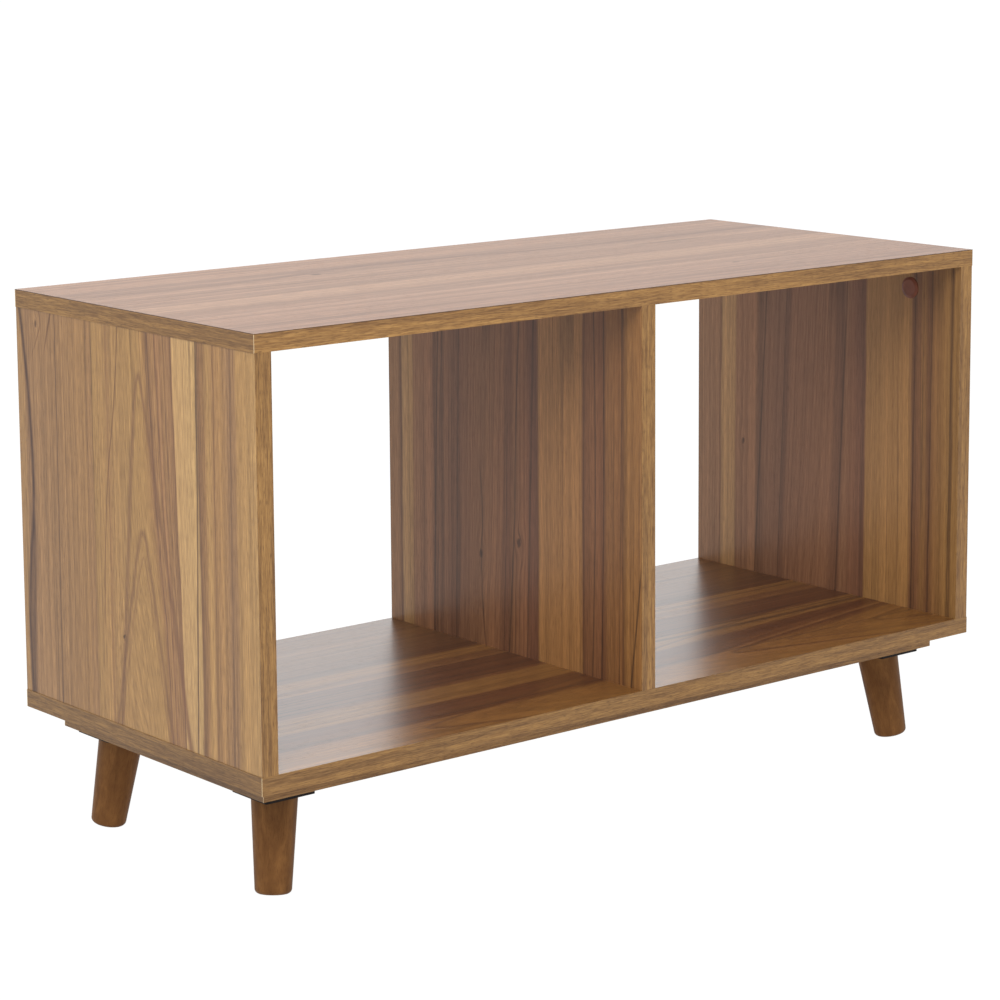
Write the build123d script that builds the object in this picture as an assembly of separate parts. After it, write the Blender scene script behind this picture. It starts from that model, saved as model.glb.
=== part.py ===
from build123d import *
from math import cos, radians, sin, sqrt, tan
import os

os.makedirs("parts", exist_ok=True)

# Two-cube storage unit on four splayed legs, open at the front and the back.
# Millimetres. The origin is the middle of the footprint, on the floor. +X runs
# along the width, -Y is the front, +Z is up.

# Case
overall_width = 800.0
overall_depth = 350.0
opening_height = 330.0          # clear height inside a cube
top_board = 15.0
bottom_board = 15.0
side_board = 15.0
divider_board = 15.0
band = 0.6                      # edge band thickness

# Sub-base: the board under the bottom panel that carries the legs
sub_base_board = 15.0
sub_base_end_recess = 20.0      # from the bottom panel's ends
sub_base_front_recess = 27.5    # from its front and back faces

# Legs
leg_clearance = 87.0            # floor to the underside of the sub-base
leg_axis_inset = 35.0           # leg axis to the sub-base's edges, at the leg's top
leg_splay = 9.9                 # degrees off vertical, along the 45 degree diagonal
leg_top_radius = 19.1
leg_foot_radius = 15.0
leg_foot_rounding = 4.2

# Leg plates and what holds them
plate_thickness = 5.0
plate_margin = 4.9              # half the plate's size, less the leg's top radius
plate_offset = 3.0              # the plate's middle outside the leg's axis, in X and in Y
plate_corner_radius = 2.0
boss_radius = 11.0              # the plate's boss, sunk in the sub-base
boss_height = 10.0
insert_radius = 6.0
insert_length = 10.0
insert_sink = 1.5               # plate's underside to the insert, along the leg
bolt_radius = 4.0
bolt_above = 12.0               # bolt above the leg's top, along the leg
bolt_below = 25.0
plate_screw_inset = 4.5         # screw axis to the plate's edges
plate_screw_radius = 1.5
plate_screw_head_radius = 2.8
plate_screw_length = 14.0

# Cam joints between the uprights and the top panel
fitting_inset = 62.5            # fitting axis to the front and back faces
cam_drop = 25.0                 # cam axis below the underside of the top panel
cam_radius = 7.5
cam_behind_bolt = 4.5           # the cam pocket's depth past the bolt's axis
cam_socket_radius = 2.5
cam_socket_depth = 3.0
cam_cap_radius = 10.0
cam_cap_rim = 0.6
cam_cap_slope = 2.5             # width of the sloped rim
cam_cap_crown = 1.5
cam_cap_stem = 2.4
cam_bolt_radius = 2.5
cam_bolt_neck_radius = 1.8
cam_bolt_collar_radius = 3.8
cam_bolt_collar = 2.5
cam_bolt_head_radius = 3.2
cam_bolt_hole_radius = 4.0
cam_bolt_thread = 10.0          # the bolt's reach into the top panel

# Dowels beside every cam and every bottom screw
dowel_radius = 4.0
dowel_length = 30.0
dowel_in_panel = 10.0           # the rest is in the upright
dowel_step = 32.0               # from the cam or screw, towards the middle

# Screws up through the bottom panel into the uprights
confirmat_length = 50.0
confirmat_shank_radius = 3.5
confirmat_thread_radius = 2.5
confirmat_head_radius = 5.0
confirmat_hex = 4.0

# Screws up through the sub-base into the bottom panel
sub_base_screw_length = 25.0
sub_base_screw_radius = 2.0
sub_base_screw_head_radius = 4.0
sub_base_screw_inset = 32.5     # from the sub-base's front and back edges
sub_base_screw_bays = 5         # equal bays along the sub-base, a screw between bays

# Clearances
hole_gap = 0.05                 # round a fitting in its hole
hole_end_gap = 0.5              # past the end of a fitting in a blind hole
boss_gap = 0.3                  # round the plate's boss

# Levels
sub_base_bottom = leg_clearance
bottom_panel_bottom = sub_base_bottom + sub_base_board
cube_bottom = bottom_panel_bottom + bottom_board
cube_top = cube_bottom + opening_height
overall_height = cube_top + top_board
plate_bottom = sub_base_bottom - plate_thickness

# Half sizes and middles
half_width = overall_width / 2
half_depth = overall_depth / 2
sub_base_half_width = half_width - sub_base_end_recess
sub_base_half_depth = half_depth - sub_base_front_recess
side_middle = half_width - band - side_board / 2
fitting_y = half_depth - fitting_inset
dowel_y = fitting_y - dowel_step
plate_half = leg_top_radius + plate_margin
plate_x = sub_base_half_width - leg_axis_inset + plate_offset
plate_y = sub_base_half_depth - leg_axis_inset + plate_offset

uprights = {                    # middle in X, board thickness, side that the cams face
    "left_side": (-side_middle, side_board, 1),
    "divider": (0.0, divider_board, 1),
    "right_side": (side_middle, side_board, -1),
}
corners = {
    "front_left": (-1, -1),
    "front_right": (1, -1),
    "back_left": (-1, 1),
    "back_right": (1, 1),
}


def block(x0, x1, y0, y1, z0, z1):
    """A box between two corners."""
    middle = Pos((x0 + x1) / 2, (y0 + y1) / 2, (z0 + z1) / 2)
    return middle * Box(x1 - x0, y1 - y0, z1 - z0)


def rod(x, y, z0, z1, radius):
    """An upright cylinder from z0 to z1."""
    return Pos(x, y, (z0 + z1) / 2) * Cylinder(radius, z1 - z0)


def turned(points, plane):
    """A solid turned about the plane's own Z, from (radius, height) points."""
    outline = Polyline([(radius, 0, height) for radius, height in points], close=True)
    return plane.location * revolve(make_face(outline), Axis.Z)


def save(node, solids):
    """Write one node: a single solid, or a group of separate ones."""
    solids = [solid for item in solids for solid in item.solids()]
    shape = solids[0] if len(solids) == 1 else Compound(solids)
    export_step(shape, f"parts/{node}.step")


# Fasteners ------------------------------------------------------------------

def countersunk_screw(x, y, z, length, radius, head_radius):
    """A cross-head wood screw with its head flush at height z, pointing up."""
    head = head_radius - radius
    tip = radius
    outline = [(0, 0), (head_radius, 0), (radius, head), (radius, length - tip), (0, length)]
    screw = turned(outline, Plane((x, y, z)))
    slot_long = head_radius * 1.1
    slot_wide = head_radius * 0.28
    slot_deep = head * 0.9
    for long_x, long_y in ((slot_long, slot_wide), (slot_wide, slot_long)):
        screw -= Pos(x, y, z) * Box(long_x, long_y, 2 * slot_deep)
    return screw


def screw_hole(x, y, z, length, radius, head_radius):
    """The hole that a countersunk screw fits, with its gaps."""
    head = head_radius - radius
    wide, narrow = head_radius + hole_gap, radius + hole_gap
    end = length + hole_end_gap
    return turned([(0, 0), (wide, 0), (narrow, head), (narrow, end), (0, end)], Plane((x, y, z)))


def confirmat(x, y):
    """A connecting screw, flush with the underside of the bottom panel."""
    head = confirmat_head_radius - confirmat_shank_radius
    outline = [
        (0, 0), (confirmat_head_radius, 0), (confirmat_shank_radius, head),
        (confirmat_shank_radius, bottom_board), (confirmat_thread_radius, bottom_board),
        (confirmat_thread_radius, confirmat_length - confirmat_thread_radius),
        (0, confirmat_length),
    ]
    screw = turned(outline, Plane((x, y, bottom_panel_bottom)))
    socket = extrude(RegularPolygon(confirmat_hex / 2, 6, major_radius=False), confirmat_hex * 0.8)
    return screw - Pos(x, y, bottom_panel_bottom) * socket


def confirmat_hole(x, y):
    """The stepped hole for a connecting screw, through the panel into the upright."""
    head = confirmat_head_radius - confirmat_shank_radius
    wide = confirmat_head_radius + hole_gap
    shank = confirmat_shank_radius + hole_gap
    thread = confirmat_thread_radius + hole_gap
    end = confirmat_length + hole_end_gap
    outline = [(0, 0), (wide, 0), (shank, head), (shank, bottom_board), (thread, bottom_board),
               (thread, end), (0, end)]
    return turned(outline, Plane((x, y, bottom_panel_bottom)))


def dowel(x, y, joint, up):
    """A grooveless wood dowel across a joint; up is 1 when the panel is above it."""
    low = joint + dowel_in_panel - dowel_length if up > 0 else joint - dowel_in_panel
    pin = rod(x, y, low, low + dowel_length, dowel_radius)
    return chamfer(pin.edges().filter_by(GeomType.CIRCLE), 0.8)


def dowel_hole(x, y, joint, up):
    """The two blind holes that a dowel fits, as one cutter."""
    low = joint + dowel_in_panel - dowel_length if up > 0 else joint - dowel_in_panel
    return rod(x, y, low - hole_end_gap, low + dowel_length + hole_end_gap,
               dowel_radius + hole_gap)


# Cam joints -----------------------------------------------------------------

def cam_plane(name, y):
    """The cam's axis: on the upright's face, with Z pointing into the cube."""
    middle, board, facing = uprights[name]
    face = middle + facing * board / 2
    return Plane((face, y, cube_top - cam_drop), x_dir=(0, 1, 0), z_dir=(facing, 0, 0))


def cam_depth(name):
    """How deep the cam's pocket is: the bolt runs down the middle of the board."""
    board = uprights[name][1]
    return board / 2 + cam_behind_bolt


def cam_bolt(x, y):
    """The bolt that hangs from the top panel into the cam."""
    head_top = cube_top - cam_drop + cam_bolt_head_radius
    neck_top = head_top + 2 * cam_bolt_head_radius
    outline = [
        (0, cube_top - cam_drop - cam_bolt_head_radius),
        (cam_bolt_head_radius * 0.6, cube_top - cam_drop - cam_bolt_head_radius),
        (cam_bolt_head_radius, cube_top - cam_drop),
        (cam_bolt_head_radius * 0.6, head_top),
        (cam_bolt_neck_radius, head_top),
        (cam_bolt_neck_radius, neck_top),
        (cam_bolt_radius, neck_top),
        (cam_bolt_radius, cube_top - cam_bolt_collar),
        (cam_bolt_collar_radius, cube_top - cam_bolt_collar),
        (cam_bolt_collar_radius, cube_top),
        (cam_bolt_radius, cube_top),
        (cam_bolt_radius, cube_top + cam_bolt_thread),
        (0, cube_top + cam_bolt_thread),
    ]
    return turned(outline, Plane((x, y, 0)))


def cam_bolt_hole(x, y):
    """The cutter for a cam bolt: wide in the upright's end, narrow in the top panel."""
    lower = rod(x, y, cube_top - cam_drop, cube_top, cam_bolt_hole_radius)
    upper = rod(x, y, cube_top - hole_end_gap, cube_top + cam_bolt_thread + hole_end_gap,
                cam_bolt_radius + hole_gap)
    return lower + upper


def cam_hole(name, y):
    """The round pocket for a cam in the upright's face."""
    depth = cam_depth(name)
    return cam_plane(name, y).location * Pos(0, 0, -depth / 2) * Cylinder(cam_radius, depth)


def cam_lock(name, y):
    """A turning cam with its driver socket and the slot that takes the bolt's head."""
    middle = uprights[name][0]
    radius, depth = cam_radius - hole_gap, cam_depth(name) - hole_gap
    lock = cam_plane(name, y).location * Pos(0, 0, -depth / 2) * Cylinder(radius, depth)
    lock -= cam_plane(name, y).location * Cylinder(cam_socket_radius, 2 * cam_socket_depth)
    slot = cam_bolt_head_radius + hole_end_gap
    level = cube_top - cam_drop
    return lock - rod(middle, y, level - slot, level + 2 * cam_radius, slot)


def cam_cap(name, y):
    """A press-in cap over the cam, with a sloped rim and a stem in the cam's socket."""
    stem = cam_socket_radius - hole_gap
    outline = [
        (0, -cam_cap_stem), (stem, -cam_cap_stem), (stem, 0), (cam_cap_radius, 0),
        (cam_cap_radius, cam_cap_rim), (cam_cap_radius - cam_cap_slope, cam_cap_crown),
        (0, cam_cap_crown),
    ]
    return turned(outline, cam_plane(name, y))


# Boards ---------------------------------------------------------------------

def banded_panel(node, half_x, half_y, z0, z1, cutters):
    """A flat board with a band on each of its four edges."""
    core_x, core_y = half_x - band, half_y - band
    core = block(-core_x, core_x, -core_y, core_y, z0, z1)
    for cutter in cutters:
        core -= cutter
    save(node, [core])
    save(f"{node}_band_front", [block(-half_x, half_x, -half_y, -core_y, z0, z1)])
    save(f"{node}_band_back", [block(-half_x, half_x, core_y, half_y, z0, z1)])
    save(f"{node}_band_left", [block(-half_x, -core_x, -core_y, core_y, z0, z1)])
    save(f"{node}_band_right", [block(core_x, half_x, -core_y, core_y, z0, z1)])


def upright(name, cutters):
    """A standing board with a band on its front and back edges."""
    middle, board, facing = uprights[name]
    x0, x1 = middle - board / 2, middle + board / 2
    core_y = half_depth - band
    core = block(x0, x1, -core_y, core_y, cube_bottom, cube_top)
    for cutter in cutters:
        core -= cutter
    for y in (-fitting_y, fitting_y):
        core -= cam_hole(name, y)
    save(name, [core])
    save(f"{name}_band_front", [block(x0, x1, -half_depth, -core_y, cube_bottom, cube_top)])
    save(f"{name}_band_back", [block(x0, x1, core_y, half_depth, cube_bottom, cube_top)])


# Legs -----------------------------------------------------------------------
# One leg is worked out at the back right, where X and Y both point outward, and
# the other three are mirrored from it.

splay = radians(leg_splay)
splay_slope = tan(splay) / sqrt(2)                  # outward in X, and in Y, per unit down
leg_top = Vector(sub_base_half_width - leg_axis_inset, sub_base_half_depth - leg_axis_inset,
                 plate_bottom)
leg_down = Vector(splay_slope, splay_slope, -1).normalized()
leg_plane = Plane(leg_top, x_dir=Vector(1, -1, 0), z_dir=leg_down)

# The length that puts the lowest point of the foot's rounding on the floor
foot_flat = leg_foot_radius - leg_foot_rounding
leg_length = leg_foot_rounding + (
    plate_bottom - leg_foot_rounding - foot_flat * sin(splay)) / cos(splay)
side_end = leg_length - leg_foot_rounding


def leg():
    """A tapered turned leg, cut level at the top and square at the rounded foot."""
    spare = leg_top_radius                          # above the top, before the level cut
    widening = (leg_top_radius - leg_foot_radius) / side_end
    side = Polyline((foot_flat, 0, leg_length), (0, 0, leg_length), (0, 0, -spare),
                    (leg_top_radius + widening * spare, 0, -spare),
                    (leg_foot_radius, 0, side_end))
    bend = leg_foot_rounding * cos(radians(45))
    rounding = ThreePointArc((leg_foot_radius, 0, side_end),
                             (foot_flat + bend, 0, side_end + bend),
                             (foot_flat, 0, leg_length))
    blank = leg_plane.location * revolve(make_face(side + rounding), Axis.Z)
    reach = 2 * spare
    blank -= block(leg_top.X - reach, leg_top.X + reach, leg_top.Y - reach, leg_top.Y + reach,
                   plate_bottom, plate_bottom + reach)
    return blank - along_leg(-spare, bolt_below + hole_end_gap, bolt_radius + hole_gap)


def along_leg(start, end, radius):
    """A cylinder on the leg's axis, between two distances below the leg's top."""
    return leg_plane.location * Pos(0, 0, (start + end) / 2) * Cylinder(radius, end - start)


def plate_screw_places():
    """Where the four screws of the back right plate stand."""
    offset = plate_half - plate_screw_inset
    return [(plate_x + dx * offset, plate_y + dy * offset) for dx in (-1, 1) for dy in (-1, 1)]


def plate_screw_size():
    """Length, shank radius and head radius of a plate screw."""
    return plate_screw_length, plate_screw_radius, plate_screw_head_radius


def boss(gap=0.0, end_gap=0.0):
    """The round boss on the plate, centred on the leg's axis at its middle height."""
    rise = plate_thickness + boss_height / 2
    x, y = leg_top.X - splay_slope * rise, leg_top.Y - splay_slope * rise
    return rod(x, y, sub_base_bottom, sub_base_bottom + boss_height + end_gap, boss_radius + gap)


def leg_plate():
    """The square plate with its boss, bored for the insert and the screws."""
    plate = block(plate_x - plate_half, plate_x + plate_half,
                  plate_y - plate_half, plate_y + plate_half, plate_bottom, sub_base_bottom)
    plate = fillet(plate.edges().filter_by(Axis.Z), plate_corner_radius)
    plate += boss()
    plate -= along_leg(-insert_sink - insert_length - hole_end_gap, -insert_sink,
                       insert_radius + hole_gap)
    plate -= along_leg(-plate_thickness - boss_height - bolt_above, bolt_below,
                       bolt_radius + hole_gap)
    for x, y in plate_screw_places():
        plate -= screw_hole(x, y, plate_bottom, *plate_screw_size())
    return plate


def leg_insert():
    """The threaded steel insert in the plate, on the leg's axis."""
    sleeve = along_leg(-insert_sink - insert_length, -insert_sink, insert_radius)
    return sleeve - along_leg(-insert_sink - insert_length, -insert_sink, bolt_radius + hole_gap)


def leg_bolt():
    """The hanger bolt from the leg into the insert."""
    bolt = along_leg(-bolt_above, bolt_below, bolt_radius)
    return chamfer(bolt.edges().filter_by(GeomType.CIRCLE), 0.8)


def at_corner(shape, corner):
    """Mirror a back right piece to another corner."""
    sign_x, sign_y = corners[corner]
    if sign_x < 0:
        shape = mirror(shape, about=Plane.YZ)
    if sign_y < 0:
        shape = mirror(shape, about=Plane.XZ)
    return shape


# Where the fasteners stand --------------------------------------------------

fitting_places = [(uprights[name][0], y) for name in uprights for y in (-fitting_y, fitting_y)]
dowel_places = [(uprights[name][0], y) for name in uprights for y in (-dowel_y, dowel_y)]
bay = 2 * sub_base_half_width / sub_base_screw_bays
sub_base_screw_y = sub_base_half_depth - sub_base_screw_inset
sub_base_screw_places = [(bay * step - sub_base_half_width, y)
                         for step in range(1, sub_base_screw_bays)
                         for y in (-sub_base_screw_y, sub_base_screw_y)]
sub_base_screw_size = (sub_base_screw_length, sub_base_screw_radius, sub_base_screw_head_radius)

top_dowel_holes = [dowel_hole(x, y, cube_top, 1) for x, y in dowel_places]
bottom_dowel_holes = [dowel_hole(x, y, cube_bottom, -1) for x, y in dowel_places]
cam_bolt_holes = [cam_bolt_hole(x, y) for x, y in fitting_places]
confirmat_holes = [confirmat_hole(x, y) for x, y in fitting_places]
sub_base_screw_holes = [screw_hole(x, y, sub_base_bottom, *sub_base_screw_size)
                        for x, y in sub_base_screw_places]
plate_screw_holes = [screw_hole(x, y, plate_bottom, *plate_screw_size())
                     for x, y in plate_screw_places()]

# Write every node -----------------------------------------------------------

banded_panel("top_panel", half_width, half_depth, cube_top, overall_height,
             top_dowel_holes + cam_bolt_holes)
banded_panel("bottom_panel", half_width, half_depth, bottom_panel_bottom, cube_bottom,
             bottom_dowel_holes + confirmat_holes + sub_base_screw_holes)
leg_cutters = [boss(boss_gap, hole_end_gap)] + plate_screw_holes
banded_panel("sub_base", sub_base_half_width, sub_base_half_depth,
             sub_base_bottom, bottom_panel_bottom,
             [at_corner(cutter, corner) for corner in corners for cutter in leg_cutters]
             + sub_base_screw_holes)
for index, name in enumerate(uprights):
    pair = slice(2 * index, 2 * index + 2)
    upright(name, top_dowel_holes[pair] + bottom_dowel_holes[pair]
            + cam_bolt_holes[pair] + confirmat_holes[pair])

save("cam_bolts", [cam_bolt(x, y) for x, y in fitting_places])
save("cam_locks", [cam_lock(name, y) for name in uprights for y in (-fitting_y, fitting_y)])
save("cam_caps", [cam_cap(name, y) for name in uprights for y in (-fitting_y, fitting_y)])
save("top_dowels", [dowel(x, y, cube_top, 1) for x, y in dowel_places])
save("bottom_dowels", [dowel(x, y, cube_bottom, -1) for x, y in dowel_places])
save("confirmat_screws", [confirmat(x, y) for x, y in fitting_places])
save("sub_base_screws", [countersunk_screw(x, y, sub_base_bottom, *sub_base_screw_size)
                         for x, y in sub_base_screw_places])

plate_screws = [countersunk_screw(x, y, plate_bottom, *plate_screw_size())
                for x, y in plate_screw_places()]
for corner in corners:
    save(f"leg_{corner}", [at_corner(leg(), corner)])
    save(f"leg_plate_{corner}", [at_corner(leg_plate(), corner)])
    save(f"leg_insert_{corner}", [at_corner(leg_insert(), corner)])
    save(f"leg_bolt_{corner}", [at_corner(leg_bolt(), corner)])
    save(f"leg_plate_screws_{corner}", [at_corner(screw, corner) for screw in plate_screws])
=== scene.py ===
"""Looks of the two-cube storage unit.

Printed walnut boards, banded edges, and turned legs on black plates.
"""
import math

import bpy
from mathutils import Euler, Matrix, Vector


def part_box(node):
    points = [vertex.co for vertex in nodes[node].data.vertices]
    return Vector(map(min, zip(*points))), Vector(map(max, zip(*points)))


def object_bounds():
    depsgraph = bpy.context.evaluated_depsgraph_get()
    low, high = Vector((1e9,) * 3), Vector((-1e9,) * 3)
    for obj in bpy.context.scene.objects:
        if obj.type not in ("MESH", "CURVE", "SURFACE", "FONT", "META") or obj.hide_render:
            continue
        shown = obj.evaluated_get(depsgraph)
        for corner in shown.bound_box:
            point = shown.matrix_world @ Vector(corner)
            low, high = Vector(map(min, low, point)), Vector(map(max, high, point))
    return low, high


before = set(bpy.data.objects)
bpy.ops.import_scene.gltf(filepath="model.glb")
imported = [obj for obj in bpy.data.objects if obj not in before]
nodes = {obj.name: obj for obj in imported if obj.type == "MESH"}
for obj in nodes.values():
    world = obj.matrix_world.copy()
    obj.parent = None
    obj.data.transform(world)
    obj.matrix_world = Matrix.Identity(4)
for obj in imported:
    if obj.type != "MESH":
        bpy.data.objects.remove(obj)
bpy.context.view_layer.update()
scene = bpy.context.scene

CORNERS = ("front_left", "front_right", "back_left", "back_right")
UPRIGHTS = ("left_side", "divider", "right_side")
PANELS = ("top_panel", "bottom_panel", "sub_base")

MM = 1000.0                                # mm in a metre
X_AXIS, Y_AXIS, Z_AXIS = 0, 1, 2
case_low, case_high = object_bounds()
BACK = case_high.y * MM                    # y of the back face, mm
DEPTH = (case_high.y - case_low.y) * MM    # front to back, mm
RISE_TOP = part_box("left_side")[1].z * MM   # top end of the uprights, mm
TOP = case_high.z * MM                     # height of the top face, mm


def colour(r, g, b):
    """Linear RGBA of an sRGB colour given in 0-255."""
    def one(c):
        c /= 255.0
        return c / 12.92 if c <= 0.04045 else ((c + 0.055) / 1.055) ** 2.4
    return (one(r), one(g), one(b), 1.0)


# ---------------------------------------------------------------- shader short-hand

class Val:
    """A node output that takes part in arithmetic."""

    def __init__(self, net, socket):
        self.net, self.socket = net, socket

    def __add__(self, other):
        return self.net.math("ADD", self, other)

    def __mul__(self, other):
        return self.net.math("MULTIPLY", self, other)

    def __sub__(self, other):
        return self.net.math("SUBTRACT", self, other)

    def __rsub__(self, other):
        return self.net.math("SUBTRACT", other, self)

    def __truediv__(self, other):
        return self.net.math("DIVIDE", self, other)

    def __neg__(self):
        return self.net.math("MULTIPLY", self, -1.0)

    def abs(self):
        return self.net.math("ABSOLUTE", self)

    def sqrt(self):
        return self.net.math("SQRT", self)

    def exp(self):
        return self.net.math("EXPONENT", self)

    def above(self, level):
        return self.net.math("GREATER_THAN", self, level)

    def most(self, other):
        return self.net.math("MAXIMUM", self, other)

    def least(self, other):
        return self.net.math("MINIMUM", self, other)

    def step(self, low, high):
        """0 at low and 1 at high, eased between them."""
        return self.net.spread(self, low, high, 0.0, 1.0)

    def bell(self, centre, half):
        """1 at centre, easing to 0 at half on each side of it."""
        return self.net.spread((self - centre).abs(), 0.0, half, 1.0, 0.0)


class Net:
    """One material's node tree."""

    def __init__(self, name, owner=None):
        self.owner = owner or bpy.data.materials.new(name)
        self.owner.use_nodes = True
        self.tree = self.owner.node_tree
        self.tree.nodes.clear()

    def add(self, kind, **props):
        node = self.tree.nodes.new(kind)
        for key, value in props.items():
            setattr(node, key, value)
        return node

    def put(self, socket, value):
        if isinstance(value, Val):
            self.tree.links.new(value.socket, socket)
        elif isinstance(value, bpy.types.NodeSocket):
            self.tree.links.new(value, socket)
        else:
            socket.default_value = value

    def math(self, operation, *values):
        node = self.add("ShaderNodeMath", operation=operation)
        for socket, value in zip(node.inputs, values):
            self.put(socket, value)
        return Val(self, node.outputs[0])

    def spread(self, value, low, high, to_low, to_high):
        node = self.add("ShaderNodeMapRange", interpolation_type="SMOOTHSTEP")
        for socket, item in zip(node.inputs, (value, low, high, to_low, to_high)):
            self.put(socket, item)
        return Val(self, node.outputs[0])

    def point(self, x, y, z):
        node = self.add("ShaderNodeCombineXYZ")
        for socket, value in zip(node.inputs, (x, y, z)):
            self.put(socket, value)
        return Val(self, node.outputs[0])

    def split(self, vector):
        node = self.add("ShaderNodeSeparateXYZ")
        self.put(node.inputs[0], vector)
        return [Val(self, s) for s in node.outputs]

    def place(self):
        """x, y, z of the surface point in the row frame, mm."""
        node = self.add("ShaderNodeTexCoord")
        return [v * MM for v in self.split(node.outputs["Object"])]

    def facing(self):
        """x, y, z of the surface normal, as sizes."""
        node = self.add("ShaderNodeTexCoord")
        return [v.abs() for v in self.split(node.outputs["Normal"])]

    def dot(self, vector, direction):
        node = self.add("ShaderNodeVectorMath", operation="DOT_PRODUCT")
        self.put(node.inputs[0], vector)
        node.inputs[1].default_value = direction
        return Val(self, node.outputs["Value"])

    def noise(self, x, y, z, detail=2.0, rough=0.5):
        """Smooth noise, about 0.5 on average."""
        node = self.add("ShaderNodeTexNoise", noise_dimensions="3D")
        self.put(node.inputs["Vector"], self.point(x, y, z))
        node.inputs["Scale"].default_value = 1.0
        node.inputs["Detail"].default_value = detail
        node.inputs["Roughness"].default_value = rough
        return Val(self, node.outputs[0])

    def blend(self, share, first, second, kind="MIX"):
        node = self.add("ShaderNodeMix", data_type="RGBA", blend_type=kind)
        self.put(node.inputs[0], share)
        self.put(node.inputs[6], first)
        self.put(node.inputs[7], second)
        return Val(self, node.outputs[2])

    def times(self, tone, scale):
        """A colour brightened or darkened channel by channel."""
        return self.blend(1.0, tone, (*scale, 1.0), "MULTIPLY")

    def print_ramp(self, value, stops, span):
        """Print colours at places along value, which runs from 0 to span."""
        node = self.add("ShaderNodeValToRGB")
        self.put(node.inputs[0], value / span)
        elements = node.color_ramp.elements
        elements.remove(elements[1])
        for i, (where, tint) in enumerate(stops):
            element = elements[0] if i == 0 else elements.new(where / span)
            element.position = where / span
            element.color = colour(*(c * scale for c, scale in zip(tint, PRINT_WARMTH)))
        return Val(self, node.outputs[0])

    def curve(self, value, points, span):
        """A smooth line through points (value, result), both from 0 to span."""
        node = self.add("ShaderNodeFloatCurve")
        self.put(node.inputs["Value"], value / span)
        line = node.mapping.curves[0]
        for i, (x, y) in enumerate(points):
            if i < 2:
                line.points[i].location = (x / span, y / span)
            else:
                line.points.new(x / span, y / span)
        node.mapping.update()
        return Val(self, node.outputs[0]) * span

    def surface(self, base, roughness, height, bump, metallic=0.0, ior=1.5, specular=0.5):
        """A finished surface. height, 0 to 1, stands for a relief of bump, mm."""
        shader = self.add("ShaderNodeBsdfPrincipled")
        self.put(shader.inputs["Base Color"], base)
        self.put(shader.inputs["Roughness"], roughness)
        shader.inputs["Metallic"].default_value = metallic
        shader.inputs["IOR"].default_value = ior
        shader.inputs["Specular IOR Level"].default_value = specular
        node = self.add("ShaderNodeBump")
        node.inputs["Strength"].default_value = 1.0
        node.inputs["Distance"].default_value = bump / MM
        self.put(node.inputs["Height"], height)
        self.put(shader.inputs["Normal"], node.outputs[0])
        out = self.add("ShaderNodeOutputMaterial")
        self.put(out.inputs[0], shader.outputs[0])
        return self.owner


# ---------------------------------------------------------------- walnut decor

PRINT_WARMTH = (1.02, 1.055, 1.02)     # channel by channel, on every print colour
# what each figure does to the print under it, channel by channel
STRIPE_DARK = (0.53, 0.50, 0.48)
STRIPE_LIGHT = (1.40, 1.40, 1.36)
LINE_DARK = (0.52, 0.50, 0.48)
ARCH_LIGHT = (1.3, 1.3, 1.2)
CLOUD_DARK = (0.74, 0.71, 0.69)
FIBRE_DARK = (0.66, 0.62, 0.58)
FIBRE_LIGHT = (1.32, 1.33, 1.28)
PORE_DARK = (0.50, 0.46, 0.44)
STREAK = (70, 48, 35)
KNOT = (66, 42, 30)

STRIPE_GAIN = 3.2
LINE_SHARE = 0.42
THREAD_SHARE = 0.5
FIBRE_GAIN = 2.1
PORE_SHARE = 0.6
PATH_SPAN = 1000.0      # the paths' points lie between 0 and this, mm
PATH_MIDDLE = 500.0     # no shift in a bend's path, and the panels' x = 0 in their v
STROKE_FADE = 12.0      # half the length over which a stroke begins or ends, mm
FADE_IN_FROM = 1.0      # a stroke that starts past this fades in
FADE_OUT_TO = 320.0     # a stroke that ends short of this fades out
ARCH_NOSE = 6.0         # how round an arch's tip is, mm
RING_PITCH = 5.0        # an arch's rings against the stripes of the open face
RING_START = 600.0      # keeps an arch's stripes apart from the open face's


def fibres(net, across, grain, along, seed):
    """Fine structure shared by every wood print.

    Stripes and lines go by across, and fibres and pores by grain.
    """
    stripes = net.noise(across / 4.6, along / 700.0, seed, 3.0, 0.62)
    lines = net.noise(across / 2.1, along / 520.0, seed + 41.0, 1.0).step(0.56, 0.70)
    lines = lines * net.noise(across / 26.0, along / 240.0, seed + 43.0, 1.0).step(0.38, 0.62)
    fine = net.noise(grain / 0.9, along / 22.0, seed + 7.0, 2.0, 0.65)
    pores = net.noise(grain / 0.55, along / 9.0, seed + 13.0, 1.0, 0.5).step(0.58, 0.72)
    where = net.noise(grain / 30.0, along / 160.0, seed + 19.0, 1.0).step(0.35, 0.6)
    return stripes, lines, fine, pores * where


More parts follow.
